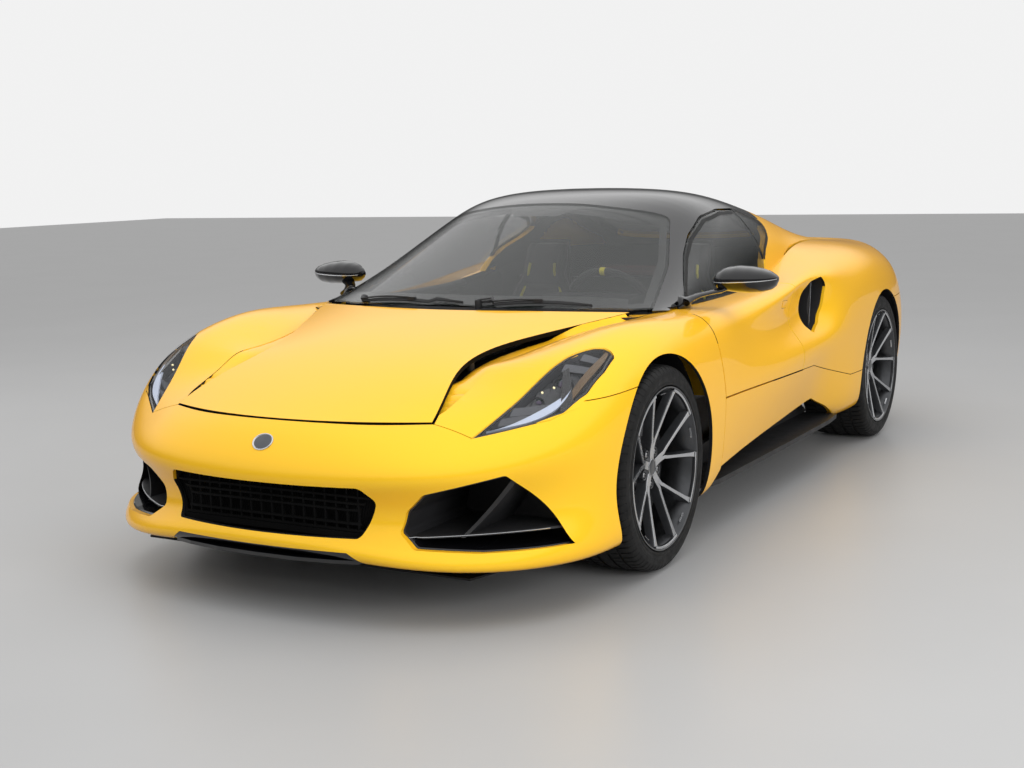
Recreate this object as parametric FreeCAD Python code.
import FreeCAD, Part
import os
from math import cos, radians, sin, tan

V = FreeCAD.Vector
os.makedirs("parts", exist_ok=True)

# Overall sizes in millimetres: nose towards -Y, left side towards +X, ground at Z 0
WHEELBASE = 2575.0
FRONT_OVERHANG = 985.0
REAR_OVERHANG = 853.0
BODY_WIDTH = 1895.0
BODY_HEIGHT = 1226.0
FRONT_AXLE_Y = FRONT_OVERHANG - (WHEELBASE + FRONT_OVERHANG + REAR_OVERHANG) / 2
REAR_AXLE_Y = FRONT_AXLE_Y + WHEELBASE

# Wheels and tyres
FRONT_TYRE_RADIUS = 340.0
REAR_TYRE_RADIUS = 342.5
FRONT_TYRE_WIDTH = 245.0
REAR_TYRE_WIDTH = 295.0
RIM_RADIUS = 268.0
RIM_WALL = 14.0
FRONT_RIM_FACE_X = 914.0
REAR_RIM_FACE_X = 925.5
SPOKE_PAIRS = 5
SPOKE_SPREAD = 18.0
FRONT_DISC_RADIUS = 185.0
REAR_DISC_RADIUS = 175.0
DISC_THICKNESS = 32.0
SPINDLE_RADIUS = 30.0
RUNNING_FIT = 0.05
STEER_AXIS_X = 735.0
POST_HALF = 150.0
ARCH_GAP = 35.0
REAR_ARCH_GAP = 24.0
LINER_GAP = 62.0

# Panels and gaps
SKIN = 12.0
BONNET_SKIN = 16.0
ROOF_SKIN = 30.0
GLASS = 5.0
DOOR_INNER_X = 690.0
SHUT_GAP = 6.0
LID_GAP = 10.0
GLASS_GAP = 8.0
DOOR_BEVEL = 0.26
PANEL_GAP = 3.0
SPLITTER_INSET = 2.5
SEAT_GAP = 0.3
LINER_WALL = 4.0
BUFFER_RADIUS = 12.0
LID_SKIN = 22.0
DUCT_WALL = 4.0

# Chassis tub and cabin
FLOOR_Z = 130.0
ENGINE_FOOT_Z = 285.0
ENGINE_REAR_Y = 1250.0
FLOOR_THICKNESS = 40.0
TUB_HALF_WIDTH = 684.0
SILL_TOP_Z = 430.0
TUNNEL_HALF_WIDTH = 110.0
SEAT_CENTRE_X = 345.0
COLUMN_TILT = 24.0
COLUMN_RADIUS = 22.0
EXHAUST_X = 240.0
EXHAUST_RADIUS = 46.0
COLUMN_AXIS = V(0, cos(radians(COLUMN_TILT)), sin(radians(COLUMN_TILT)))

# Sizes at which the body lines are drawn
DRAWN_WHEELBASE = 2575.0
DRAWN_FRONT_OVERHANG = 985.0
DRAWN_REAR_OVERHANG = 853.0
DRAWN_FRONT_AXLE_Y = -1221.5
DRAWN_REAR_AXLE_Y = 1353.5
DRAWN_WIDTH = 1895.0
DRAWN_HEIGHT = 1226.0


def across(x):
    return x * BODY_WIDTH / DRAWN_WIDTH


def along(y):
    if y < DRAWN_FRONT_AXLE_Y:
        return FRONT_AXLE_Y + (y - DRAWN_FRONT_AXLE_Y) * FRONT_OVERHANG / DRAWN_FRONT_OVERHANG
    if y > DRAWN_REAR_AXLE_Y:
        return REAR_AXLE_Y + (y - DRAWN_REAR_AXLE_Y) * REAR_OVERHANG / DRAWN_REAR_OVERHANG
    return FRONT_AXLE_Y + (y - DRAWN_FRONT_AXLE_Y) * WHEELBASE / DRAWN_WHEELBASE


def up(z):
    return z * BODY_HEIGHT / DRAWN_HEIGHT


def at(x, y, z):
    return V(across(x), along(y), up(z))


# Body lines: spokes of the lower body from the nose round the left side to the tail, lower edge first
WRAP = [
    [(0, -2090, 196), (0, -2180, 200), (0, -2214, 225), (0, -2206, 262), (0, -2165, 290), (0, -2160, 345),
     (0, -2190, 395), (0, -2203, 425), (0, -2190, 470), (0, -2150, 525), (0, -2110, 563), (0, -2076, 584)],
    [(220, -2085, 194), (230, -2165, 197), (235, -2195, 222), (235, -2187, 258), (230, -2145, 288),
     (230, -2140, 345), (235, -2172, 397), (238, -2186, 427), (240, -2173, 472), (245, -2130, 526),
     (248, -2088, 563), (250, -2050, 584)],
    [(430, -2050, 176), (440, -2140, 180), (450, -2165, 200), (450, -2150, 240), (440, -2090, 280),
     (440, -2085, 345), (450, -2120, 400), (460, -2140, 435), (465, -2125, 475), (470, -2075, 525),
     (480, -2015, 560), (495, -1960, 584)],
    [(590, -1990, 162), (610, -2070, 166), (622, -2092, 186), (620, -2070, 225), (605, -2000, 270),
     (610, -1995, 345), (622, -2030, 405), (630, -2047, 445), (625, -2025, 490), (605, -1960, 545),
     (570, -1890, 600), (500, -1850, 630)],
    [(720, -1880, 154), (745, -1960, 158), (760, -1980, 180), (760, -1955, 225), (745, -1880, 280),
     (750, -1870, 360), (765, -1895, 425), (772, -1905, 470), (765, -1880, 520), (735, -1810, 595),
     (650, -1745, 665), (505, -1730, 668)],
    [(800, -1740, 149), (850, -1800, 152), (868, -1815, 180), (868, -1795, 230), (860, -1750, 300),
     (868, -1740, 390), (880, -1750, 460), (880, -1750, 520), (868, -1730, 590), (820, -1680, 680),
     (690, -1660, 735), (505, -1640, 722)],
    [(850, -1590, 145), (905, -1600, 150), (925, -1600, 190), (922, -1600, 250), (920, -1600, 340),
     (925, -1600, 450), (925, -1600, 540), (912, -1600, 630), (875, -1570, 705), (800, -1550, 765),
     (690, -1550, 785), (505, -1540, 716)],
    [(860, -1221, 150), (920, -1221, 170), (932, -1221, 220), (934, -1221, 300), (936, -1221, 400),
     (938, -1221, 500), (938, -1221, 590), (930, -1221, 680), (900, -1221, 760), (835, -1221, 815),
     (735, -1221, 840), (525, -1221, 750)],
    [(850, -850, 150), (895, -850, 160), (915, -850, 200), (925, -850, 280), (930, -850, 380),
     (933, -850, 480), (930, -850, 570), (922, -850, 650), (905, -860, 722), (870, -870, 778),
     (815, -880, 808), (725, -850, 812)],
    [(790, -500, 165), (860, -500, 175), (885, -500, 230), (900, -500, 310), (912, -500, 400),
     (922, -500, 490), (915, -500, 570), (900, -500, 640), (888, -500, 705), (868, -500, 758),
     (810, -500, 794), (714, -500, 800)],
    [(780, -100, 170), (845, -100, 185), (870, -100, 250), (890, -100, 330), (910, -100, 420),
     (925, -100, 510), (915, -100, 570), (885, -100, 640), (868, -100, 715), (888, -100, 778),
     (820, -100, 802), (722, -100, 804)],
    [(770, 250, 175), (835, 250, 200), (860, 250, 270), (880, 250, 350), (905, 250, 440),
     (928, 250, 530), (912, 250, 590), (826, 250, 672), (864, 250, 800), (880, 250, 822),
     (808, 250, 830), (712, 250, 822)],
    [(770, 450, 180), (830, 450, 215), (855, 450, 290), (880, 450, 370), (905, 450, 460),
     (930, 450, 550), (914, 450, 600), (806, 450, 686), (860, 450, 824), (876, 450, 848),
     (796, 450, 862), (690, 450, 858)],
    [(780, 620, 180), (850, 620, 215), (880, 620, 290), (900, 620, 370), (920, 620, 460),
     (938, 620, 550), (942, 620, 610), (930, 620, 680), (914, 620, 790), (900, 620, 856),
     (798, 620, 888), (670, 620, 890)],
    [(820, 850, 165), (890, 850, 180), (920, 850, 240), (932, 850, 330), (940, 850, 430),
     (946, 850, 530), (948, 850, 620), (944, 850, 710), (925, 850, 795), (880, 850, 870),
     (775, 850, 917), (640, 850, 935)],
    [(840, 1100, 175), (905, 1100, 190), (930, 1100, 245), (940, 1100, 335), (946, 1100, 430),
     (949, 1100, 530), (950, 1100, 620), (947, 1100, 720), (928, 1100, 815), (875, 1100, 892),
     (765, 1100, 937), (615, 1100, 950)],
    [(840, 1353, 195), (905, 1353, 210), (930, 1353, 260), (940, 1353, 340), (946, 1353, 430),
     (949, 1353, 530), (950, 1353, 620), (945, 1353, 715), (922, 1353, 810), (868, 1353, 887),
     (758, 1353, 935), (595, 1353, 945)],
    [(830, 1700, 225), (890, 1700, 240), (915, 1700, 285), (925, 1700, 355), (932, 1700, 435),
     (936, 1700, 520), (935, 1700, 610), (925, 1700, 700), (895, 1700, 790), (835, 1700, 860),
     (740, 1700, 910), (585, 1700, 925)],
    [(790, 1880, 240), (835, 1905, 255), (862, 1915, 300), (875, 1920, 370), (882, 1922, 445),
     (885, 1925, 525), (880, 1918, 605), (868, 1905, 690), (840, 1890, 780), (785, 1880, 855),
     (700, 1860, 910), (565, 1830, 915)],
    [(690, 2010, 245), (725, 2040, 262), (750, 2060, 312), (765, 2072, 390), (772, 2078, 465),
     (775, 2080, 540), (765, 2070, 615), (750, 2055, 695), (725, 2045, 785), (685, 2060, 865),
     (610, 2050, 920), (520, 1950, 910)],
    [(480, 2070, 250), (500, 2100, 268), (515, 2130, 325), (525, 2150, 405), (530, 2160, 485),
     (530, 2165, 555), (520, 2150, 630), (510, 2125, 710), (500, 2110, 795), (490, 2140, 880),
     (450, 2150, 925), (400, 2010, 908)],
    [(230, 2080, 250), (235, 2115, 270), (240, 2150, 330), (245, 2178, 418), (248, 2196, 498),
     (248, 2202, 568), (245, 2172, 640), (240, 2145, 720), (235, 2128, 800), (232, 2160, 882),
     (220, 2182, 928), (200, 2050, 906)],
    [(0, 2080, 250), (0, 2120, 270), (0, 2160, 330), (0, 2190, 420), (0, 2208, 500), (0, 2216, 570),
     (0, 2180, 640), (0, 2150, 720), (0, 2135, 800), (0, 2165, 882), (0, 2190, 930), (0, 2060, 906)],
]

# Bonnet: rows from the front edge to the cowl, each from the centre to the left edge
BONNET = [
    [(0, -2076, 584), (200, -2063, 584), (370, -2022, 585), (495, -1960, 584)],
    [(0, -1960, 630), (190, -1945, 630), (352, -1910, 632), (480, -1860, 640)],
    [(0, -1750, 700), (165, -1740, 702), (300, -1715, 706), (402, -1690, 706)],
    [(0, -1500, 762), (170, -1490, 764), (312, -1470, 761), (412, -1440, 756)],
    [(0, -1280, 800), (220, -1270, 803), (405, -1245, 795), (548, -1195, 783)],
    [(0, -1120, 826), (260, -1100, 828), (480, -1030, 825), (670, -900, 815)],
]

# Canopy: rows from the cowl over the roof to the tail, each from the centre to the belt line
CANOPY = [
    [(0, -1110, 822), (250, -1085, 824), (480, -1010, 822), (640, -905, 816), (700, -840, 812),
     (725, -810, 812), (738, -790, 810), (745, -770, 806)],
    [(0, -880, 925), (240, -860, 925), (450, -790, 915), (600, -690, 890), (660, -650, 868),
     (700, -625, 845), (715, -610, 822), (722, -600, 800)],
    [(0, -560, 1075), (220, -545, 1072), (400, -490, 1055), (535, -420, 1022), (600, -385, 985),
     (655, -370, 925), (690, -360, 860), (712, -350, 800)],
    [(0, -300, 1175), (200, -290, 1172), (360, -255, 1158), (480, -200, 1128), (560, -175, 1085),
     (630, -165, 1000), (680, -160, 900), (716, -155, 802)],
    [(0, -50, 1231), (190, -45, 1228), (350, -30, 1216), (470, -10, 1190), (560, 0, 1135),
     (635, 5, 1035), (685, 8, 915), (720, 10, 804)],
    [(0, 300, 1228), (190, 300, 1225), (350, 300, 1213), (470, 300, 1184), (560, 300, 1130),
     (630, 300, 1035), (682, 300, 925), (712, 300, 822)],
    [(0, 600, 1178), (190, 600, 1175), (345, 600, 1165), (455, 600, 1142), (550, 600, 1100),
     (610, 600, 1030), (655, 600, 955), (672, 620, 890)],
    [(0, 850, 1085), (190, 850, 1088), (340, 850, 1090), (440, 850, 1092), (530, 850, 1070),
     (580, 850, 1010), (625, 850, 960), (640, 850, 935)],
    [(0, 1100, 995), (190, 1100, 998), (335, 1100, 1005), (430, 1100, 1020), (510, 1100, 1020),
     (560, 1100, 985), (600, 1100, 960), (615, 1100, 950)],
    [(0, 1353, 935), (190, 1353, 938), (335, 1353, 945), (430, 1353, 955), (505, 1353, 962),
     (550, 1353, 957), (580, 1353, 950), (595, 1353, 945)],
    [(0, 1700, 900), (190, 1700, 902), (330, 1700, 908), (420, 1700, 914), (490, 1700, 920),
     (535, 1700, 924), (570, 1700, 926), (585, 1700, 925)],
    [(0, 1900, 893), (190, 1890, 894), (320, 1870, 898), (405, 1855, 904), (470, 1850, 910),
     (515, 1845, 913), (550, 1838, 915), (565, 1830, 915)],
    [(0, 2060, 906), (170, 2052, 906), (300, 2030, 907), (390, 2010, 908), (440, 1995, 909),
     (480, 1978, 910), (505, 1965, 910), (520, 1950, 910)],
]


# Surfaces and solids
def knot_table(poles, degree):
    inner = poles - degree - 1
    return [degree + 1] + [1] * inner + [degree + 1], [float(k) for k in range(inner + 2)]


def bspline(net):
    rows, columns = len(net), len(net[0])
    degree_u, degree_v = min(3, rows - 1), min(3, columns - 1)
    mults_u, knots_u = knot_table(rows, degree_u)
    mults_v, knots_v = knot_table(columns, degree_v)
    surface = Part.BSplineSurface()
    surface.buildFromPolesMultsKnots(net, mults_u, mults_v, knots_u, knots_v, False, False,
                                     degree_u, degree_v)
    return surface


def inward(net, depth):
    rows, columns = len(net), len(net[0])
    moved = []
    for i in range(rows):
        row = []
        for j in range(columns):
            along_u = net[min(i + 1, rows - 1)][j] - net[max(i - 1, 0)][j]
            along_v = net[i][min(j + 1, columns - 1)] - net[i][max(j - 1, 0)]
            normal = along_u.cross(along_v)
            normal.normalize()
            row.append(net[i][j] - normal * depth)
        moved.append(row)
    return moved


def closed_solid(faces):
    shell = Part.Shell(faces)
    shell.sewShape()
    solid = Part.Solid(shell)
    if solid.Volume < 0:
        solid.reverse()
    return solid


def layer(net, top, bottom, u0, u1, v0, v1):
    """Solid between two depths below a surface."""
    outer = bspline(inward(net, top)) if top else bspline(net)
    inner = bspline(inward(net, bottom))
    for surface in (outer, inner):
        surface.segment(u0, u1, v0, v1)
    faces = [outer.toShape(), inner.toShape()]
    for u in (u0, u1):
        faces.append(Part.makeRuledSurface(outer.uIso(u).toShape(), inner.uIso(u).toShape()))
    for v in (v0, v1):
        faces.append(Part.makeRuledSurface(outer.vIso(v).toShape(), inner.vIso(v).toShape()))
    return closed_solid(faces)


def mirrored(shape):
    return shape.mirror(V(0, 0, 0), V(1, 0, 0))


def pair(shape):
    return Part.makeCompound([shape, mirrored(shape)])


def wire(points, closed=True):
    """Polyline whose corners are rounded where a point carries a radius."""
    corners = [(V(*p[:3]), p[3] if len(p) > 3 else 0) for p in points]
    count = len(corners)
    edges, stations = [], []
    for i, (corner, radius) in enumerate(corners):
        if not radius:
            stations.append((corner, None, corner))
            continue
        back = (corners[i - 1][0] - corner).normalize()
        ahead = (corners[(i + 1) % count][0] - corner).normalize()
        half = back.getAngle(ahead) / 2
        reach = radius / tan(half)
        bisector = (back + ahead).normalize()
        middle = corner + bisector * (radius / sin(half) - radius)
        stations.append((corner + back * reach, middle, corner + ahead * reach))
    for i in range(count):
        first, middle, final = stations[i]
        if middle is not None:
            edges.append(Part.Arc(first, middle, final).toShape())
        following = stations[(i + 1) % count][0]
        if final.distanceToPoint(following) > 1e-4:
            edges.append(Part.LineSegment(final, following).toShape())
    return Part.Wire(edges)


def side_prism(points, x0, x1):
    """Side-view outline (y, z[, radius]) carried from x0 to x1."""
    outline = wire([(across(x0), along(p[0]), up(p[1])) + tuple(p[2:]) for p in points])
    return Part.Face(outline).extrude(V(across(x1) - across(x0), 0, 0))


def plan_prism(points, z0, z1):
    """Plan outline (x, y[, radius]) carried from z0 to z1."""
    outline = wire([(across(p[0]), along(p[1]), up(z0)) + tuple(p[2:]) for p in points])
    return Part.Face(outline).extrude(V(0, 0, up(z1) - up(z0)))


def front_prism(points, y0, y1):
    """Front-view outline (x, z[, radius]) carried from y0 to y1."""
    outline = wire([(across(p[0]), along(y0), up(p[1])) + tuple(p[2:]) for p in points])
    return Part.Face(outline).extrude(V(0, along(y1) - along(y0), 0))


def both_sides(points):
    """Outline closed by its own mirror image across the centre line."""
    return points + [(-p[0],) + tuple(p[1:]) for p in reversed(points)]


def block(x0, x1, y0, y1, z0, z1):
    low, high = at(x0, y0, z0), at(x1, y1, z1)
    return Part.makeBox(high.x - low.x, high.y - low.y, high.z - low.z, low)


def tube_x(radius, x0, x1, y, z, hole=0):
    solid = Part.makeCylinder(radius, x1 - x0, V(x0, y, z), V(1, 0, 0))
    if hole:
        solid = solid.cut(Part.makeCylinder(hole, x1 - x0, V(x0, y, z), V(1, 0, 0)))
    return solid


def rod(start, end, radius):
    return Part.makeCylinder(radius, (end - start).Length, start, end - start)


def turned(profile, y, z):
    """Solid of revolution about the axle line; the profile holds (x, radius) points."""
    outline = wire([(p[0], y, z + p[1]) + tuple(p[2:]) for p in profile])
    return Part.Face(outline).revolve(V(0, y, z), V(1, 0, 0), 360)


def fused(shapes):
    return shapes[0].multiFuse(shapes[1:]).removeSplitter()


def solids_of(shape):
    """Keep the real solids of a boolean's result, largest first, without slivers."""
    solids = sorted(shape.Solids, key=lambda s: -s.Volume)
    return [s for s in solids if s.Volume > solids[0].Volume * 0.002]


def piece(shape):
    solids = solids_of(shape)
    return solids[0] if len(solids) == 1 else Part.makeCompound(solids)


def write(name, shape):
    shape.exportStep("parts/%s.step" % name)


# Pole nets: the nose and sides in one surface, the tail and sides in another with the same spokes
FRONT_REACH = 18
REAR_START = 7


def left(points):
    return [at(*p) for p in points]


def right(points):
    return [at(-p[0], p[1], p[2]) for p in points]


FRONT_NET = [right(s) for s in WRAP[FRONT_REACH:0:-1]] + [left(s) for s in WRAP[:FRONT_REACH + 1]]
REAR_NET = [left(s) for s in WRAP[REAR_START:]] + [right(s) for s in WRAP[-2:REAR_START - 1:-1]]
RAILS_END = float(len(WRAP[0]) - 3)


def across_rows(rows):
    columns = len(rows[0])
    net = [right([row[j] for row in rows]) for j in range(columns - 1, 0, -1)]
    return net + [left([row[j] for row in rows]) for j in range(columns)]


BONNET_NET = across_rows(BONNET)
CANOPY_NET = across_rows(CANOPY)
BONNET_END = (float(len(BONNET_NET) - 3), float(len(BONNET) - 3))
CANOPY_END = (float(len(CANOPY_NET) - 3), float(len(CANOPY) - 3))


def front_u(spoke):
    return FRONT_REACH - 1 + spoke


def rear_u(spoke):
    return spoke - REAR_START - 1.0


def rear_u_right(spoke):
    return 2 * rear_u(len(WRAP) - 1) - rear_u(spoke)


def side_layer(top, bottom, spoke0, spoke1):
    return layer(FRONT_NET, top, bottom, front_u(spoke0), front_u(spoke1), 0.0, RAILS_END)


def canopy_layer(top, bottom):
    return layer(CANOPY_NET, top, bottom, 0.0, CANOPY_END[0], 0.0, CANOPY_END[1])


# Outlines shared by neighbouring pieces, read off the side, front and plan views
DOOR_FRONT = [(-742, 830), (-712, 500)]
LAMP = [(612, -1953), (653, -1840), (696, -1716), (745, -1580, 60), (790, -1492, 40), (828, -1450, 24),
        (853, -1478, 20), (858, -1560, 60), (850, -1665, 60), (815, -1752, 60), (744, -1831, 90)]
GRILLE = both_sides([(342, 264, 18), (387, 372, 24), (352, 417, 30), (150, 416)])
INTAKE = [(448, 280, 14), (462, 340, 30), (520, 396, 40), (722, 445, 10), (790, 340), (862, 222),
          (672, 226), (505, 240, 30)]
SPLITTER = both_sides([(382, 150), (365, 196, 8), (318, 228, 14)])
SIDE_GLASS = [(-600, 812), (-480, 895), (-350, 978), (-215, 1048, 200), (-40, 1114, 300),
              (161, 1134, 400),
              (400, 1128, 300), (585, 1090, 60), (652, 1050, 20), (600, 1000, 200), (470, 950),
              (385, 898, 40),
              (345, 845), (300, 828), (200, 812), (0, 798), (-300, 792)]
WINDSCREEN = both_sides([(250, -1062), (480, -985), (640, -880), (694, -815, 10), (612, -480),
                         (498, -196, 30),
                         (320, -270, 400)])
TAILGATE_FRONT_Y = 640.0
TAILGATE_REAR_Y = 2046.0
TAILGATE = both_sides([(448, TAILGATE_FRONT_Y, 20), (480, 900), (505, 1230, 200), (578, 1480, 200),
                       (574, 1720),
                       (552, 1826, 60), (470, 1958, 60), (330, 2018), (170, TAILGATE_REAR_Y)])
REAR_GLASS = both_sides([(360, TAILGATE_FRONT_Y + 40, 40), (372, 1180, 60)])
BUMPER_LINE_Z = 660.0


def grown(points, margin):
    """Outline moved outwards by a margin, corner by corner, for plan and front views."""
    count = len(points)
    area = sum(points[i - 1][0] * points[i][1] - points[i][0] * points[i - 1][1] for i in range(count))
    turn = 1 if area > 0 else -1
    moved = []
    for i, p in enumerate(points):
        back, ahead = points[i - 1], points[(i + 1) % count]
        a = V(p[0] - back[0], p[1] - back[1], 0).normalize()
        b = V(ahead[0] - p[0], ahead[1] - p[1], 0).normalize()
        normal_a, normal_b = V(a.y, -a.x, 0) * turn, V(b.y, -b.x, 0) * turn
        bisector = (normal_a + normal_b).normalize()
        reach = margin / max(bisector.dot(normal_a), 0.5)
        radius = (max(p[2] + margin * 0.6, 1),) if len(p) > 2 else ()
        moved.append((p[0] + bisector.x * reach, p[1] + bisector.y * reach) + radius)
    return moved


def arch_cut(axle_y, radius, x0, x1, tyre_radius):
    return tube_x(radius, x0, x1, axle_y, tyre_radius)


FRONT_ARCH_CUT = arch_cut(FRONT_AXLE_Y, FRONT_TYRE_RADIUS + ARCH_GAP, across(480), across(1100),
                          FRONT_TYRE_RADIUS)
REAR_ARCH_CUT = arch_cut(REAR_AXLE_Y, REAR_TYRE_RADIUS + REAR_ARCH_GAP, across(480), across(1100),
                         REAR_TYRE_RADIUS)
FRONT_WHEEL_ROOM = arch_cut(FRONT_AXLE_Y, FRONT_TYRE_RADIUS + LINER_GAP, across(440), across(868),
                            FRONT_TYRE_RADIUS)
REAR_WHEEL_ROOM = arch_cut(REAR_AXLE_Y, REAR_TYRE_RADIUS + REAR_ARCH_GAP + 16, across(560), across(880),
                           REAR_TYRE_RADIUS)


def cut_all(shape, tools):
    for tool in tools:
        shape = shape.cut(tool)
    return shape


def front_shell_room(spoke0, spoke1):
    return layer(FRONT_NET, -SHUT_GAP, SKIN + SEAT_GAP, front_u(spoke0), front_u(spoke1), 0.0, RAILS_END)


def rear_shell_room():
    return layer(REAR_NET, -SHUT_GAP, SKIN + SEAT_GAP, rear_u(10.5), rear_u(18.0), 0.0, RAILS_END)


# Bumper and front fenders
def fender_zone(gap):
    """Space above the bumper's shut line, from the bonnet corner by the lamp to the wheel arch."""
    front = plan_prism([(470, -1962 + gap), (612, -1950 + gap), (700, -1870 + gap), (790, -1790 + gap),
                        (850, -1706), (850, -1500), (300, -1500), (300, -1962 + gap)], 480, 1000)
    rear = side_prism([(-1712, 628 + gap), (-1600, 632 + gap), (-1440, 640 + gap), (-1200, 640 + gap),
                       (-1200, 1000), (-1712, 1000)], 300, 1100)
    return front.fuse(rear)


def lamp_prism(margin):
    above = side_prism([(-1990, 468), (-1400, 716), (-1400, 900), (-1990, 900)], 500, 1000)
    return plan_prism(grown(LAMP, margin), 430, 900).common(above)


def front_bumper():
    shell = side_layer(0, SKIN, -6.75, 6.75)
    zone = fender_zone(0)
    tools = [zone, mirrored(zone), front_prism(GRILLE, -2300, -1900), front_prism(SPLITTER, -2300, -2000)]
    for cut in (lamp_prism(0), front_prism(INTAKE, -2300, -1600), FRONT_ARCH_CUT, FRONT_WHEEL_ROOM):
        tools += [cut, mirrored(cut)]
    return piece(cut_all(shell, tools + [bonnet_keep_out()]))


def front_fender():
    shell = side_layer(0, SKIN, 2.0, 9.3)
    zone = fender_zone(PANEL_GAP)
    behind = side_prism([(-1300, 100), (-1300, 900), (DOOR_FRONT[0][0] - SHUT_GAP, 900),
                         (DOOR_FRONT[0][0] - SHUT_GAP, DOOR_FRONT[0][1]),
                         (DOOR_FRONT[1][0] - SHUT_GAP, DOOR_FRONT[1][1]), (DOOR_FRONT[1][0] - SHUT_GAP,
                                                                           240),
                         (-853, 165), (-860, 100)], 300, 1100)
    ahead = zone.common(side_prism([(-2100, 300), (-2100, 1000), (-1290, 1000), (-1290, 300)], 300, 1100))
    shell = shell.common(ahead.fuse(behind))
    keep_out = bonnet_keep_out()
    return piece(cut_all(shell, [lamp_prism(0), FRONT_ARCH_CUT, FRONT_WHEEL_ROOM, keep_out]))


# Bonnet, hinged at the cowl
BONNET_INSET = 0.02


def bonnet():
    return layer(BONNET_NET, 0, BONNET_SKIN, BONNET_INSET, BONNET_END[0] - BONNET_INSET, BONNET_INSET,
                 BONNET_END[1] - BONNET_INSET)


def bonnet_keep_out():
    return layer(BONNET_NET, -14, BONNET_SKIN + SHUT_GAP, 0, BONNET_END[0], 0, BONNET_END[1])


# Doors: the skin is the body surface, the inner face is flat
DOOR_REAR = [(190, 479), (196, 560), (205, 700), (215, 780), (300, 880)]
DOOR_OUTLINE = DOOR_FRONT + DOOR_REAR
DOOR_SKIN_X = 938.0
DOOR_REACH = 400.0


def leaning_prism(points):
    """Side-view outline carried inwards and forwards, so that the door swings clear of the clamshell."""
    outline = wire([(across(DOOR_SKIN_X), along(y), up(z)) for y, z in points])
    return Part.Face(outline).extrude(V(-DOOR_REACH, -DOOR_REACH * DOOR_BEVEL, 0))


def door_zone():
    ahead = [(DOOR_FRONT[0][0] - 100, 830), (DOOR_FRONT[0][0] - 100, 500)]
    return side_prism(DOOR_OUTLINE, 300, 1100).common(leaning_prism(ahead + DOOR_REAR))


def side_block():
    """The body side as one block from the outer surface to the door's inner face."""
    surface = bspline(FRONT_NET)
    surface.segment(front_u(8.1), front_u(13.4), 0.0, RAILS_END)
    solid = surface.toShape().extrude(V(-400, 0, 0))
    return solid.common(Part.makeBox(400, 2400, 900, V(DOOR_INNER_X, along(-1100), up(60))))


def door():
    return piece(side_block().common(door_zone()))


def side_glass_zone(margin):
    return side_prism(grown(SIDE_GLASS, margin), 400, 1000)


def belt_cut(gap):
    """Everything below the belt line along the door."""
    return side_prism([(-760, 812 + gap), (-600, 803 + gap), (-350, 801 + gap), (10, 806 + gap),
                       (200, 818 + gap),
                       (300, 832 + gap), (385, 852 + gap), (430, 862 + gap), (460, 700), (460,
                                                                                          300), (-760, 300)],
                      300, 1100)


DIVIDER = [(288, 1300), (348, 1134), (392, 960), (402, 860), (410, 700)]


def ahead_of_divider(gap):
    edge = [(p[0] + gap, p[1]) for p in DIVIDER]
    return side_prism(edge + [(-1200, 700), (-1200, 1300)], 300, 1100)


def door_glass():
    glass = canopy_layer(0, GLASS).common(side_glass_zone(-GLASS_GAP))
    glass = glass.common(ahead_of_divider(0))
    behind_door = side_prism([(185, 700), (185, 824), (215, 832), (300, 842), (385, 862), (430, 872),
                              (460, 700)], 300, 1100)
    return piece(cut_all(glass, [belt_cut(0), door(), behind_door]))


def quarter_glass():
    glass = canopy_layer(0, GLASS).common(side_glass_zone(-SEAT_GAP))
    return piece(glass.cut(ahead_of_divider(GLASS_GAP)).cut(belt_cut(SHUT_GAP)))


# Roof with its pillars, and the bonded glass
def windscreen():
    return piece(canopy_layer(0, GLASS).common(plan_prism(grown(WINDSCREEN, -SEAT_GAP), 700, 1400)))


def roof_frame():
    roof = canopy_layer(0, ROOF_SKIN)
    rear = plan_prism([(-900, TAILGATE_FRONT_Y - SHUT_GAP), (900, TAILGATE_FRONT_Y - SHUT_GAP),
                       (900, 2300),
                       (-900, 2300)], 600, 1400)
    zone = side_glass_zone(0)
    belt = belt_cut(SHUT_GAP)
    front = plan_prism([(-900, -1300), (-900, -840), (-700, -840), (-694, -812), (694, -812), (700, -840),
                        (900, -840),
                        (900, -1300)], 700, 1000)
    tools = [rear, front, plan_prism(WINDSCREEN, 700, 1400)]
    for cut in (zone, belt, plan_prism(grown(BUTTRESS, PANEL_GAP), 700, 1400),
                front_shell_room(7.2, 10.4)):
        tools += [cut, mirrored(cut)]
    return piece(cut_all(roof, tools))


BUTTRESS = [(448 + GLASS_GAP, TAILGATE_FRONT_Y), (480 + GLASS_GAP, 900), (505 + GLASS_GAP, 1230),
            (592 - PANEL_GAP, 1480), (595 - PANEL_GAP, 1353), (612 - PANEL_GAP, 1100), (637 - PANEL_GAP,
                                                                                        850),
            (655 - PANEL_GAP, 730), (700, 560), (720, 340), (600, 340), (560, TAILGATE_FRONT_Y)]


def buttress():
    shell = canopy_layer(0, ROOF_SKIN)
    zone = plan_prism(BUTTRESS, 700, 1400)
    ledge = plan_prism([(430, TAILGATE_FRONT_Y + 20), (462, 900), (487, 1230), (560, 1440), (600, 1440),
                        (520, 1230), (500, 900), (470, TAILGATE_FRONT_Y + 20)], 600, 1400)
    rebate = canopy_layer(LID_SKIN + SEAT_GAP, ROOF_SKIN).common(ledge)
    shell = fused([shell.common(zone), rebate])
    return piece(cut_all(shell, [side_glass_zone(SEAT_GAP), belt_cut(PANEL_GAP), rear_shell_room()]))


def tailgate():
    lid = canopy_layer(0, LID_SKIN).common(plan_prism(TAILGATE, 600, 1400))
    return piece(lid.cut(plan_prism(REAR_GLASS, 600, 1400)))


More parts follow.
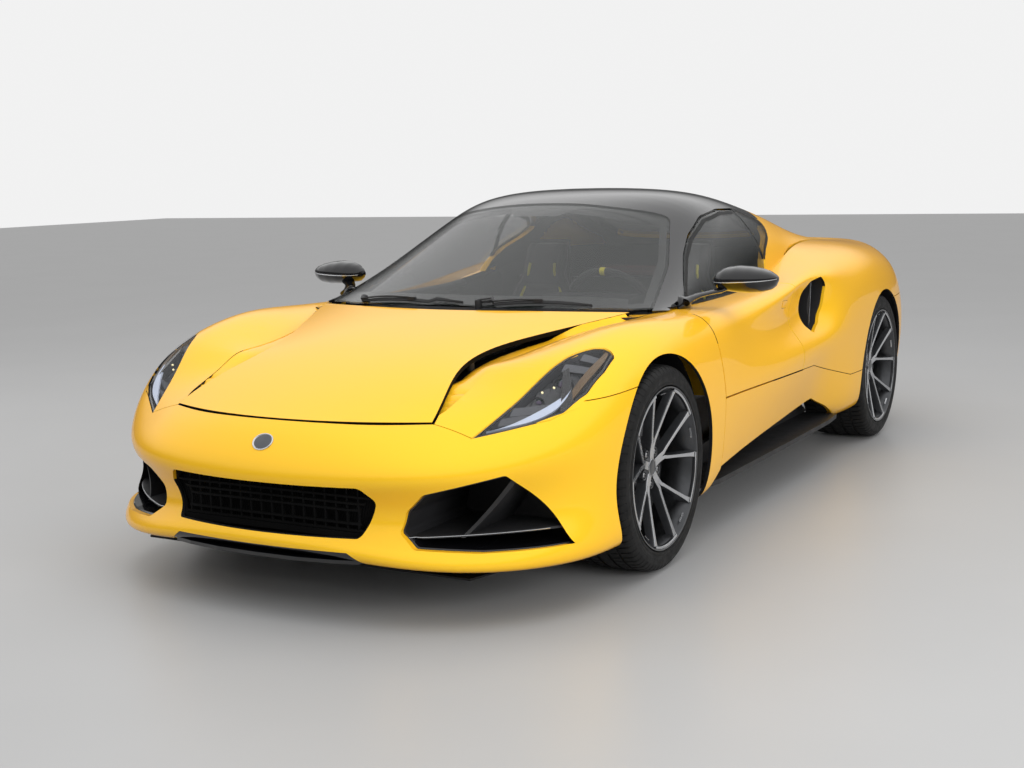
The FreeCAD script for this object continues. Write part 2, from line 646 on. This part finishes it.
def rear_glass():
    return piece(canopy_layer(0, GLASS).common(plan_prism(grown(REAR_GLASS, -SEAT_GAP), 600, 1400)))


# Rear clamshell, sills and rear bumper
SIDE_INTAKE = [(352, 640, 36), (358, 775, 40), (430, 818, 40), (530, 832, 24), (566, 796, 36),
               (550, 705, 80),
               (482, 638, 60), (385, 604, 20)]


def quarter_line(gap):
    """Space above the line that parts the sill and rear bumper from the clamshell."""
    return side_prism([(60, 482 + gap), (352, 474 + gap), (830, 372 + gap), (1000, 372 + gap),
                       (1300, 372 + gap),
                       (1500, BUMPER_LINE_Z + gap), (2400, BUMPER_LINE_Z + gap), (2400, 1300), (60, 1300)],
                      -1100, 1100)


def rear_clam():
    shell = layer(REAR_NET, 0, SKIN, rear_u(10.5), rear_u_right(10.5), 0.0, RAILS_END)
    line = [(y + SHUT_GAP, z) for y, z in DOOR_REAR]
    edge = [(-300, 400), (line[0][0], 400)] + line + [(-300, 1000)]
    door_gap = leaning_prism(edge)
    lid_gap = plan_prism(grown(TAILGATE, LID_GAP), 600, 1400)
    tools = [door_gap, mirrored(door_gap), lid_gap]
    for cut in (REAR_ARCH_CUT, REAR_WHEEL_ROOM, side_prism(SIDE_INTAKE, 600, 1100)):
        tools += [cut, mirrored(cut)]
    return piece(cut_all(shell.common(quarter_line(0)), tools))


def rear_bumper():
    shell = layer(REAR_NET, 0, SKIN, rear_u(16.5), rear_u_right(16.5), 0.0, RAILS_END)
    shell = shell.cut(quarter_line(-PANEL_GAP))
    plate = front_prism(both_sides([(330, 235), (300, 400, 30)]), 1900, 2300)
    tools = [plate]
    for cut in (REAR_ARCH_CUT, REAR_WHEEL_ROOM):
        tools += [cut, mirrored(cut)]
    return piece(cut_all(shell, tools))


def side_sill():
    shell = side_layer(0, SKIN, 8.0, 15.0)
    rear_corner = DOOR_REAR[0][0]
    zone = side_prism([(DOOR_FRONT[1][0] - PANEL_GAP, 500 - SHUT_GAP), (rear_corner, 479 - SHUT_GAP),
                       (rear_corner + SHUT_GAP, 478 - PANEL_GAP), (352, 474 - PANEL_GAP), (830, 372 - PANEL_GAP),
                       (1100, 372 - PANEL_GAP), (1100, 100), (789, 190), (640, 255, 60), (446, 317, 60),
                       (DOOR_FRONT[1][0] - PANEL_GAP, 250)], 300, 1100)
    return piece(shell.common(zone).cut(REAR_ARCH_CUT).cut(REAR_WHEEL_ROOM))


# Lamps
def headlamp_lens():
    return piece(side_layer(0, 4, 2.0, 7.5).common(lamp_prism(-SEAT_GAP)))


def headlamp():
    body = side_layer(4.3, 74, 2.0, 7.5).common(lamp_prism(-SEAT_GAP))
    bowl = side_layer(-2, 66, 2.0, 7.5).common(lamp_prism(-7.0))
    return piece(body.cut(bowl))


TAIL_LAMP = [(380, 700, 10), (395, 735, 10), (800, 770, 12), (835, 740, 10), (800, 700, 12)]


def tail_lamp():
    zone = front_prism(TAIL_LAMP, 1500, 2300)
    return piece(layer(REAR_NET, 0, 40, rear_u(16.6), rear_u(21.5), 0.0, RAILS_END).common(zone))


def tail_lamp_cut():
    return front_prism(grown(TAIL_LAMP, SEAT_GAP), 1500, 2300)


# Black pieces of the nose, sides and tail
def nose_room():
    """Space inside the bumper skin."""
    surface = bspline(inward(FRONT_NET, SKIN + SEAT_GAP))
    surface.segment(front_u(-5.6), front_u(5.6), 0.0, RAILS_END)
    return surface.toShape().extrude(V(0, 500, 0))


def front_grille():
    outer = front_prism(grown(GRILLE, 8), -2120, -2095)
    inner = front_prism(grown(GRILLE, -10), -2130, -2090)
    frame = outer.cut(inner)
    bars = []
    for i in range(7):
        z = 276 + i * 20
        bars.append(block(-400, 400, -2116, -2108, z, z + 7))
    for i in range(-9, 10):
        bars.append(block(i * 40 - 3, i * 40 + 3, -2112, -2104, 255, 425))
    mesh = Part.makeCompound(bars).common(front_prism(grown(GRILLE, -8), -2120, -2100))
    return piece(fused([frame] + mesh.Solids).common(nose_room()))


def front_duct():
    ring = front_prism(grown(INTAKE, -SEAT_GAP), -2200, -1700)
    hollow = front_prism(grown(INTAKE, -DUCT_WALL), -2300, -1720)
    duct = ring.cut(hollow)
    vane = front_prism([(455, 262), (830, 268), (830, 274), (455, 268)], -2060, -1700)
    strut = front_prism([(600, 262), (735, 440), (744, 434), (612, 262)], -2000, -1700)
    duct = duct.fuse(vane.common(ring)).fuse(strut.common(ring))
    return piece(duct.common(nose_room()).cut(FRONT_WHEEL_ROOM).cut(FRONT_ARCH_CUT))


def front_splitter():
    lip = side_layer(SPLITTER_INSET, SKIN, -2.6, 2.6)
    blade = plan_prism(both_sides([(0.5, -2201), (150, -2196), (272, -2178), (345, -2158), (360, -2100)]),
                       192, 203)
    return piece(lip.fuse(blade).common(front_prism(grown(SPLITTER, -SEAT_GAP), -2300, -2000)))


def side_intake():
    surface = bspline(inward(FRONT_NET, SKIN + SEAT_GAP))
    surface.segment(front_u(10.0), front_u(14.6), 0.0, RAILS_END)
    room = surface.toShape().extrude(V(-400, 0, 0))
    ring = side_prism([(p[0], p[1]) + tuple(p[2:]) for p in grown(SIDE_INTAKE, 6)], 705, 960)
    hollow = side_prism(grown(SIDE_INTAKE, 2), 712, 960)
    vane = side_prism([(450, 590), (470, 590), (505, 860), (485, 860)], 712, 850)
    duct = ring.cut(hollow).fuse(vane.common(ring))
    return piece(duct.common(room))


def sill_blade():
    blade = plan_prism([(TUB_HALF_WIDTH + SEAT_GAP, -800), (790, -830), (880, -800, 20), (897, -700),
                        (903, 0), (903, 600),
                        (890, 760, 20), (800, 790), (TUB_HALF_WIDTH + SEAT_GAP, 715)], 182, 200)
    side = side_prism([(-800, 200), (-700, 200), (790, 200), (700, 250), (446, 330), (-650, 262)], 720,
                      740)
    return piece(cut_all(blade.fuse(side), [FRONT_ARCH_CUT, REAR_ARCH_CUT, FRONT_WHEEL_ROOM,
                                            REAR_WHEEL_ROOM,
                                            side_sill()]))


def rear_diffuser():
    plate = side_prism([(1560, 150), (2090, 262), (2150, 300), (2150, 306), (2085, 270), (1560, 158)],
                       -560, 560)
    fins = []
    for x in (-420, -210, 0, 210, 420):
        fins.append(side_prism([(1700, 150), (2130, 205, 20), (2140, 292), (1700, 175)], x - 4, x + 4))
    back = front_prism(both_sides([(327, 268), (327, 303), (299, 396, 30)]), 2128, 2140)
    tips = [Part.makeCylinder(EXHAUST_RADIUS + SHUT_GAP, 200,
                              V(s * across(EXHAUST_X), along(2040), up(330)), V(0, 1, 0))
            for s in (-1, 1)]
    return piece(cut_all(fused([plate, back] + fins), tips + [rear_bumper()]))


def exhaust_tip():
    y0, y1, x, z = along(1980), along(2150), across(EXHAUST_X), up(330)
    return Part.makeCylinder(EXHAUST_RADIUS, y1 - y0, V(x, y0, z), V(0, 1, 0)).cut(
        Part.makeCylinder(EXHAUST_RADIUS - 4, y1 - y0, V(x, y0 + 20, z), V(0, 1, 0)))


def exhaust_tip_room():
    return Part.makeCylinder(EXHAUST_RADIUS + SEAT_GAP, 200, V(across(EXHAUST_X), along(1960), up(330)),
                             V(0, 1, 0))


# Mirrors, carried by the doors
def door_mirror():
    sections = []
    for x, y, z, depth, height in ((784, -492, 888, 8, 8), (800, -494, 890, 34, 32),
                                   (840, -494, 893, 52, 48),
                                   (900, -492, 896, 60, 57), (960, -488, 900, 56, 54), (1005, -482, 902,
                                                                                        44, 42),
                                   (1026, -478, 902, 26, 24), (1033, -476, 902, 8, 8)):
        major = V(0, 1, 0) if depth >= height else V(0, 0, 1)
        edge = Part.Ellipse(at(x, y, z) + major * (max(depth, height) + 0.01),
                            at(x, y, z) + V(1, 0, 0).cross(major) * min(depth, height), at(x, y, z)).toShape()
        sections.append(Part.Wire([edge]))
    cap = Part.makeLoft(sections, True)
    cap = cap.cut(Part.makeBox(400, 90, 300, at(700, -454, 760)))
    arm = plan_prism([(734, -672), (734, -612), (850, -468), (905, -476), (860, -540), (775, -655)], 850,
                     870)
    foot = plan_prism([(732, -690, 8), (732, -600, 8), (764, -600, 8), (772, -680, 8)], 780, 870)
    return piece(cap.fuse(arm).fuse(foot).removeSplitter().cut(door()))


# Wheels
def spoke_arm(side_angle, hub_x, rim_x):
    """One arm of a pair: a tapering bar from the hub to the rim, leaning to one side."""
    sections = []
    for radius, width, front, depth, lean in ((48, 34, hub_x, 40, 0.0),
                                              (150, 20, (hub_x + rim_x) / 2, 32, 0.55),
                                              (RIM_RADIUS - 8, 24, rim_x, 28, 1.0)):
        turn = radians(side_angle * lean)
        middle = V(0, sin(turn) * radius, cos(turn) * radius)
        wide = V(0, cos(turn), -sin(turn))
        corners = [middle + wide * (width * 0.36) + V(front, 0, 0),
                   middle - wide * (width * 0.36) + V(front, 0, 0),
                   middle - wide * (width * 0.5) + V(front - depth, 0, 0),
                   middle + wide * (width * 0.5) + V(front - depth, 0, 0)]
        sections.append(Part.makePolygon(corners + corners[:1]))
    return Part.makeLoft(sections, True)


def rim(face_x, width, axle_y, axle_z, disc_radius, hub_drop):
    """Barrel, five pairs of spokes, hub and brake disc of a left-hand wheel."""
    inner_x = face_x - width
    seat = RIM_RADIUS - RIM_WALL
    barrel = turned([(face_x, RIM_RADIUS), (face_x, seat - 4), (face_x - 60, seat - 18),
                     (inner_x + 40, seat - 18),
                     (inner_x, seat - 2), (inner_x, RIM_RADIUS), (inner_x + 12,
                                                                  RIM_RADIUS), (inner_x + 16, seat),
                     (inner_x + 60, seat - 8), (face_x - 60, seat - 8), (face_x - 16, seat),
                     (face_x - 12, RIM_RADIUS)], axle_y, axle_z)
    hub_face = face_x - hub_drop
    hub = tube_x(68, hub_face - 34, hub_face, axle_y, axle_z)
    arms = []
    for pair_index in range(SPOKE_PAIRS):
        for side in (-1, 1):
            arm = spoke_arm(side * SPOKE_SPREAD, hub_face - 2, face_x - 8)
            arm.rotate(V(0, 0, 0), V(1, 0, 0), pair_index * 360.0 / SPOKE_PAIRS)
            arm.translate(V(0, axle_y, axle_z))
            arms.append(arm)
    disc_x = hub_face - 78
    disc = tube_x(disc_radius, disc_x, disc_x + DISC_THICKNESS, axle_y, axle_z)
    bell = tube_x(82, disc_x + 4, hub_face - 30, axle_y, axle_z)
    spindle = tube_x(SPINDLE_RADIUS, disc_x - 70, disc_x + 5, axle_y, axle_z)
    inside = tube_x(seat - 6, inner_x, face_x - 2, axle_y, axle_z)
    arms = [arm.common(inside) for arm in arms]
    return fused([barrel, hub, disc, bell, spindle] + arms)


def tyre(face_x, width, rim_width, radius, axle_y):
    middle = face_x - rim_width / 2
    half, tread = width / 2, width / 2 - 26
    bead, wall = RIM_RADIUS - RIM_WALL + SEAT_GAP, rim_width / 2 - 16 - SEAT_GAP
    profile = [(middle - wall, bead), (middle - wall + 3, RIM_RADIUS + 1),
               (middle - wall - 14, RIM_RADIUS + 3), (middle - half, RIM_RADIUS + 30, 16),
               (middle - half + 6, radius - 26, 14), (middle - tread, radius - 3, 12), (middle, radius),
               (middle + tread, radius - 3, 12), (middle + half - 6, radius - 26, 14),
               (middle + half, RIM_RADIUS + 30, 16), (middle + wall + 14, RIM_RADIUS + 3),
               (middle + wall - 3, RIM_RADIUS + 1), (middle + wall, bead)]
    return turned(profile, axle_y, radius)


def upright(hub_x, axle_y, axle_z, disc_radius, caliper_angle):
    """Knuckle with its brake caliper, for a left-hand wheel; hub_x is the inner end of the spindle."""
    carrier = tube_x(62, hub_x - 6, hub_x + 54, axle_y, axle_z)
    post = Part.makeBox(36, 60, 2 * POST_HALF, V(hub_x + 4, axle_y - 30, axle_z - POST_HALF))
    bore = tube_x(SPINDLE_RADIUS + RUNNING_FIT, hub_x + 0, hub_x + 80, axle_y, axle_z)
    disc_x0, disc_x1 = hub_x + 70, hub_x + 70 + DISC_THICKNESS
    ring = tube_x(disc_radius + 16, disc_x0 - 34, disc_x1 + 21, axle_y, axle_z, disc_radius - 62)
    slot = tube_x(disc_radius + 6, disc_x0 - 6, disc_x1 + 6, axle_y, axle_z)
    wedge = Part.makeBox(300, 260, 150, V(hub_x, axle_y + 20, axle_z - 75))
    caliper = ring.cut(slot).common(wedge)
    bridge = Part.makeBox(disc_x0 - 10 - (hub_x + 6), disc_radius - 30, 70,
                          V(hub_x + 6, axle_y + 30, axle_z - 35))
    inner = tube_x(disc_radius - 34, hub_x, hub_x + 54, axle_y, axle_z)
    bridge = bridge.common(inner.fuse(ring))
    holder = fused([caliper, bridge])
    holder.rotate(V(0, axle_y, axle_z), V(1, 0, 0), caliper_angle)
    return piece(fused([carrier, post, holder]).cut(bore))


def arm_plate(inner_x, outer_x, y, half_span, z_inner, post_end_z, thickness):
    """Wishbone: two legs from the chassis to the ball joint at the end of the knuckle's post."""
    side = 1 if z_inner > FRONT_TYRE_RADIUS else -1
    tip = V(outer_x, y, post_end_z + side * (SEAT_GAP + thickness * 1.6))
    legs = [rod(V(inner_x, y + s * half_span, z_inner), tip, thickness) for s in (-1, 1)]
    ball = Part.makeSphere(thickness * 1.6, tip)
    bush = [rod(V(inner_x, y + s * half_span - 30, z_inner), V(inner_x, y + s * half_span + 30, z_inner),
                thickness * 1.6) for s in (-1, 1)]
    return fused(legs + [ball] + bush)


FRONT_RIM_WIDTH = 241.0
REAR_RIM_WIDTH = 292.0
HUB_DROP = 52.0
FRONT_SPINDLE_X = FRONT_RIM_FACE_X - HUB_DROP - 78 - 70
REAR_SPINDLE_X = REAR_RIM_FACE_X - HUB_DROP - 78 - 70


# Chassis tub, suspension and engine
def chassis_tub():
    w = TUB_HALF_WIDTH
    floor = block(-w, w, -815, 720, FLOOR_Z, FLOOR_Z + FLOOR_THICKNESS)
    sills = [block(s * (w - 60) - 60, s * (w - 60) + 60, -800, 720, FLOOR_Z, SILL_TOP_Z) for s in (-1, 1)]
    tunnel = block(-TUNNEL_HALF_WIDTH, TUNNEL_HALF_WIDTH, -800, 720, FLOOR_Z, 360)
    dash_wall = block(-w, w, -815, -785, FLOOR_Z, 740)
    rear_wall = block(-w, w, 690, 720, FLOOR_Z, 800)
    shapes = [floor, tunnel, dash_wall, rear_wall] + sills
    seal_x = DOOR_INNER_X - SEAT_GAP
    post_x = w - 26
    for s in (-1, 1):
        for y0, y1, top in ((-785, -600, 770), (50, 115, 560)):
            shapes.append(block(s * post_x - 22, s * post_x + 22, y0, y1, SILL_TOP_Z - 10, top))
        for y0, y1, z0, z1 in ((-640, -605, 520, 770), (60, 105, 490, 560)):
            low, high = sorted((s * post_x, s * seal_x))
            shapes.append(block(low, high, y0, y1, z0, z1))
        shapes.append(block(s * 400 - 40, s * 400 + 40, -1980, -800, 240, 330))
        shapes.append(block(s * 400 - 40, s * 400 + 40, 700, 2060, 275, 345))
        shapes.append(block(s * 400 - 30, s * 400 + 30, -1330, -1110, 320, 620))
        shapes.append(block(s * 420 - 30, s * 420 + 30, 1240, 1460, 320, 640))
    shapes.append(block(-440, 440, -2010, -1970, 260, 400))
    shapes.append(block(-440, 440, 2030, 2070, 280, 520))
    shapes.append(block(-440, 440, 1000, 1060, 255, ENGINE_FOOT_Z))
    beam = block(-440, 440, 2070, 2200, 450, 520)
    beam = solids_of(beam.cut(layer(REAR_NET, -80, SKIN + SEAT_GAP, rear_u(19.2), rear_u_right(19.2), 0.0,
                                    RAILS_END)))[0]
    return fused(shapes + [beam])


def suspension(inner_x, ball_x, axle_y, axle_z):
    lower = arm_plate(inner_x, ball_x, axle_y, 130, axle_z - 110, axle_z - POST_HALF, 13)
    upper = arm_plate(inner_x, ball_x, axle_y, 90, axle_z + 190, axle_z + POST_HALF, 10)
    return [lower, upper]


def front_suspension():
    parts = []
    for solid in suspension(across(442), STEER_AXIS_X - 8, FRONT_AXLE_Y, FRONT_TYRE_RADIUS):
        parts += [solid, mirrored(solid)]
    rack = rod(V(-across(360), FRONT_AXLE_Y + 150, 290), V(across(360), FRONT_AXLE_Y + 150, 290), 28)
    return Part.makeCompound(parts + [rack]).cut(chassis_tub())


def rear_suspension():
    parts = []
    for solid in suspension(across(462), REAR_SPINDLE_X + 22, REAR_AXLE_Y, REAR_TYRE_RADIUS):
        parts += [solid, mirrored(solid)]
    reach = REAR_SPINDLE_X - 8
    shaft = tube_x(20, -reach, reach, REAR_AXLE_Y, REAR_TYRE_RADIUS)
    final_drive = tube_x(REAR_AXLE_Y - along(ENGINE_REAR_Y) - SEAT_GAP, -140, 140, REAR_AXLE_Y,
                         REAR_TYRE_RADIUS)
    window = tube_x(28, across(380), across(460), REAR_AXLE_Y, REAR_TYRE_RADIUS)
    tub = cut_all(chassis_tub(), [window, mirrored(window)])
    return Part.makeCompound(parts + [shaft.fuse(final_drive).removeSplitter()]).cut(tub)


def wheel_liner(axle_y, tyre_radius, gap, x0, x1, keep_z):
    radius = tyre_radius + gap
    liner = tube_x(radius + LINER_WALL, x0, x1, axle_y, tyre_radius, radius)
    return liner.cut(Part.makeBox(2000, 2000, 1000, V(0, axle_y - 1000, keep_z - 1000)))


def wheel_liners():
    front = wheel_liner(FRONT_AXLE_Y, FRONT_TYRE_RADIUS, LINER_GAP - LINER_WALL - SEAT_GAP, across(470),
                        across(866), 420)
    rear = wheel_liner(REAR_AXLE_Y, REAR_TYRE_RADIUS, REAR_ARCH_GAP + 16 - LINER_WALL - SEAT_GAP,
                       across(562), across(945),
                       420)
    rear = solids_of(rear.cut(layer(REAR_NET, -40, SKIN + SEAT_GAP, rear_u(13.5), rear_u(18.5), 0.0,
                                    RAILS_END)))[0]
    return Part.makeCompound([front, mirrored(front), rear, mirrored(rear)])


# Cabin
def dashboard():
    top = side_prism([(-785, 560), (-785, 760), (-730, 772), (-600, 780, 40), (-520, 742, 30),
                      (-500, 640, 40),
                      (-600, 560)], -660, 660)
    shelf = plan_prism(both_sides([(0.5, -1052), (250, -1034), (480, -952), (620, -850), (655, -780)]),
                       745, 765)
    hood = side_prism([(-720, 740), (-640, 838, 40), (-520, 842, 20), (-500, 740)], SEAT_CENTRE_X - 190,
                      SEAT_CENTRE_X + 190)
    console = side_prism([(-620, 368), (-620, 600), (-500, 600), (-330, 500, 60), (60, 480, 40),
                          (60, 368)],
                         -100, 100)
    room = rod(at(SEAT_CENTRE_X, -420, 760), at(SEAT_CENTRE_X, -420, 760) + COLUMN_AXIS * -160,
               COLUMN_RADIUS + SEAT_GAP)
    return piece(cut_all(fused([top, shelf, hood, console]), [room, chassis_tub()]))


def steering_wheel():
    centre = at(SEAT_CENTRE_X, -420, 760)
    ring = Part.makeTorus(175, 16, V(0, 0, 0), V(0, 1, 0))
    boss = Part.makeCylinder(52, 40, V(0, -34, 0), V(0, 1, 0))
    arms = [Part.makeBox(130, 12, 26, V(40, -10, -13)), Part.makeBox(130, 12, 26, V(-170, -10, -13)),
            Part.makeBox(26, 12, 130, V(-13, -10, -170))]
    column = Part.makeCylinder(COLUMN_RADIUS, 90, V(0, -120, 0), V(0, 1, 0))
    wheel = fused([ring, boss, column] + arms)
    wheel.rotate(V(0, 0, 0), V(1, 0, 0), COLUMN_TILT)
    wheel.translate(centre)
    return wheel


def seat(side):
    cushion = side_prism([(-330, 215), (-330, 330, 50), (-180, 345), (150, 300), (240, 215)], -190, 190)
    back = side_prism([(120, 240), (300, 900, 40), (325, 1000, 20), (415, 995, 20), (400, 850),
                       (270, 240)],
                      -185, 185)
    base = block(-170, 170, -280, 150, FLOOR_Z + FLOOR_THICKNESS, 230)
    shape = fused([cushion, back, base])
    shape.translate(V(side * across(SEAT_CENTRE_X), 0, 0))
    return piece(shape)


def engine_block():
    return block(-330, 330, 860, ENGINE_REAR_Y, ENGINE_FOOT_Z, 760)


def cowl_panel():
    tray = plan_prism(both_sides([(0.5, -1165), (260, -1145), (480, -1080), (690, -940), (690, -850),
                                  (480, -985),
                                  (250, -1060), (0.5, -1085)]), 776, 800)
    floors = side_prism([(-1760, 640), (-1500, 668), (-1200, 712), (-960, 752), (-960, 760), (-1200, 720),
                         (-1500, 676), (-1760, 648)], 365, 560)
    tools = [roof_frame(), bonnet_keep_out(), dashboard(), wheel_liners()]
    for cut in (front_fender(), front_bumper()):
        tools += [cut, mirrored(cut)]
    panel = cut_all(fused([tray, floors, mirrored(floors)]), tools)
    stops = []
    for x, y, z0 in ((385, -1560, 650), (456, -1180, 706)):
        stop = Part.makeCylinder(BUFFER_RADIUS, up(140), at(x, y, z0), V(0, 0, 1))
        stop = solids_of(stop.cut(layer(BONNET_NET, -60, BONNET_SKIN + SEAT_GAP, 0, BONNET_END[0], 0,
                                        BONNET_END[1])))
        stop = sorted(stop, key=lambda solid: solid.CenterOfMass.z)[0]
        stops += [stop, mirrored(stop)]
    return piece(fused([panel] + stops))


def wipers():
    blades = [rod(at(120, -1078, 842), at(520, -948, 877), 6),
              rod(at(-440, -1000, 862), at(60, -1085, 850), 6)]
    posts = [rod(at(120, -1078, 800), at(120, -1078, 850), 10),
             rod(at(-440, -1000, 780), at(-440, -1000, 868), 10)]
    tools = [roof_frame(), cowl_panel(), canopy_layer(-1, 40).common(plan_prism(WINDSCREEN, 700, 1400))]
    arms = [cut_all(post.fuse(blade), tools) for post, blade in zip(posts, blades)]
    return Part.makeCompound([piece(arm) for arm in arms])


def undertray():
    return plan_prism(both_sides([(620, -1990), (700, -1720), (470, -1640), (470, -815)]), 132, 138)


if __name__ == "__main__":
    shaft_window = tube_x(28, across(380), across(460), REAR_AXLE_Y, REAR_TYRE_RADIUS)
    tub = cut_all(chassis_tub(), [shaft_window, mirrored(shaft_window), exhaust_tip_room(),
                                  mirrored(exhaust_tip_room())])
    write("front_bumper", front_bumper())
    write("front_fenders", pair(front_fender()))
    write("bonnet", bonnet())
    write("side_sills", pair(side_sill()))
    write("rear_clam", rear_clam().cut(tail_lamp_cut()).cut(mirrored(tail_lamp_cut())))
    write("rear_bumper", rear_bumper())
    write("buttresses", pair(buttress()))
    write("roof_frame", roof_frame())
    write("tailgate", tailgate())
    write("windscreen", windscreen())
    write("rear_glass", rear_glass())
    write("quarter_glass", pair(quarter_glass()))
    write("headlamps", pair(headlamp()))
    write("headlamp_lenses", pair(headlamp_lens()))
    write("tail_lamps", pair(tail_lamp()))
    write("front_grille", front_grille())
    write("front_ducts", pair(front_duct()))
    write("front_splitter", front_splitter())
    write("side_intakes", pair(side_intake()))
    write("sill_blades", pair(sill_blade()))
    write("rear_diffuser", rear_diffuser())
    write("exhaust_tips", pair(exhaust_tip()))
    write("chassis_tub", tub)
    write("undertray", undertray())
    write("wheel_liners", wheel_liners())
    write("front_suspension", front_suspension())
    write("rear_suspension", rear_suspension())
    write("engine_block", engine_block())
    write("dashboard", dashboard())
    write("steering_wheel", steering_wheel())
    write("cowl_panel", cowl_panel())
    write("wipers", wipers())
    hinge_door, hinge_glass, mirror_unit = door(), door_glass(), door_mirror()
    front_rim = rim(FRONT_RIM_FACE_X, FRONT_RIM_WIDTH, FRONT_AXLE_Y, FRONT_TYRE_RADIUS, FRONT_DISC_RADIUS,
                    HUB_DROP)
    rear_rim = rim(REAR_RIM_FACE_X, REAR_RIM_WIDTH, REAR_AXLE_Y, REAR_TYRE_RADIUS, REAR_DISC_RADIUS,
                   HUB_DROP)
    front_tyre = tyre(FRONT_RIM_FACE_X, FRONT_TYRE_WIDTH, FRONT_RIM_WIDTH, FRONT_TYRE_RADIUS,
                      FRONT_AXLE_Y)
    rear_tyre = tyre(REAR_RIM_FACE_X, REAR_TYRE_WIDTH, REAR_RIM_WIDTH, REAR_TYRE_RADIUS, REAR_AXLE_Y)
    knuckle = upright(FRONT_SPINDLE_X, FRONT_AXLE_Y, FRONT_TYRE_RADIUS, FRONT_DISC_RADIUS, 180)
    carrier = upright(REAR_SPINDLE_X, REAR_AXLE_Y, REAR_TYRE_RADIUS, REAR_DISC_RADIUS, 180)
    write("rear_carriers", pair(carrier))
    for name, hand in (("left", lambda s: s), ("right", mirrored)):
        write("door_" + name, hand(hinge_door))
        write("door_glass_" + name, hand(hinge_glass))
        write("mirror_" + name, hand(mirror_unit))
        write("seat_" + name, seat(1 if name == "left" else -1))
        write("rim_front_" + name, hand(front_rim))
        write("rim_rear_" + name, hand(rear_rim))
        write("tyre_front_" + name, hand(front_tyre))
        write("tyre_rear_" + name, hand(rear_tyre))
        write("knuckle_" + name, hand(knuckle))
